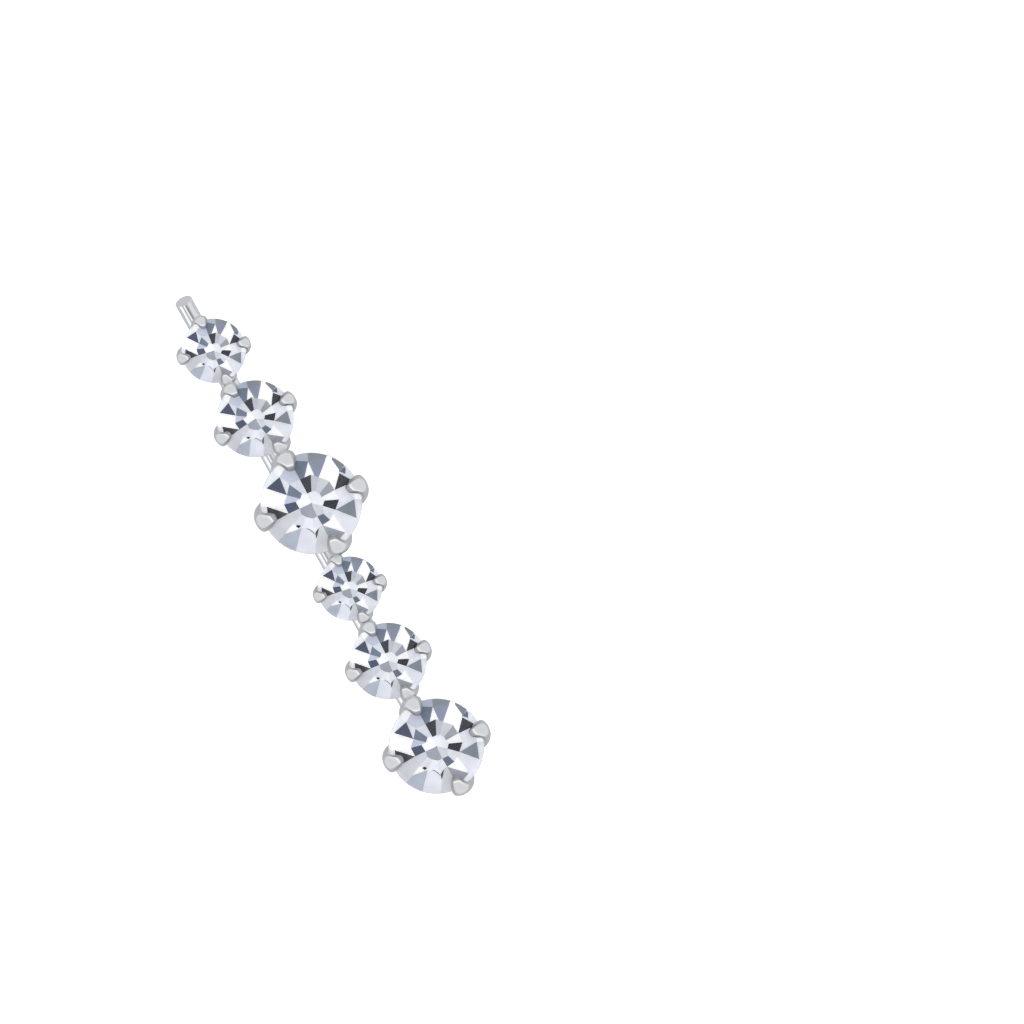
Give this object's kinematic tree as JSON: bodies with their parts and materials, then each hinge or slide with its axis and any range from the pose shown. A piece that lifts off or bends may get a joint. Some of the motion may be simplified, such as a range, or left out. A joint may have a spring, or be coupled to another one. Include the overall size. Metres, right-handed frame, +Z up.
{
  "type": "ear climber",
  "caption": "Ear climber: a gently bowed row of round stones in four-claw settings, with an ear wire that turns up behind the row.",
  "frame": {"origin": "centre of the bounding box's base, on the surface that the climber lies on", "axes": "+X along the row, from the ear wire's free end to the lowest stone; the stones face -Y, tipped up about 10 degrees; +Z up"},
  "size_m": [0.0234, 0.0092, 0.0047],
  "materials": {
    "silver": "polished bright silver with a pale plating",
    "stone": "clear faceted cubic zirconia, round brilliant cut"
  },
  "bodies": {
    "root": {"settings_and_ear_wire": "silver", "stone_1": "stone", "stone_2": "stone", "stone_3": "stone", "stone_4": "stone", "stone_5": "stone", "stone_6": "stone"}
  },
  "joints": []
}
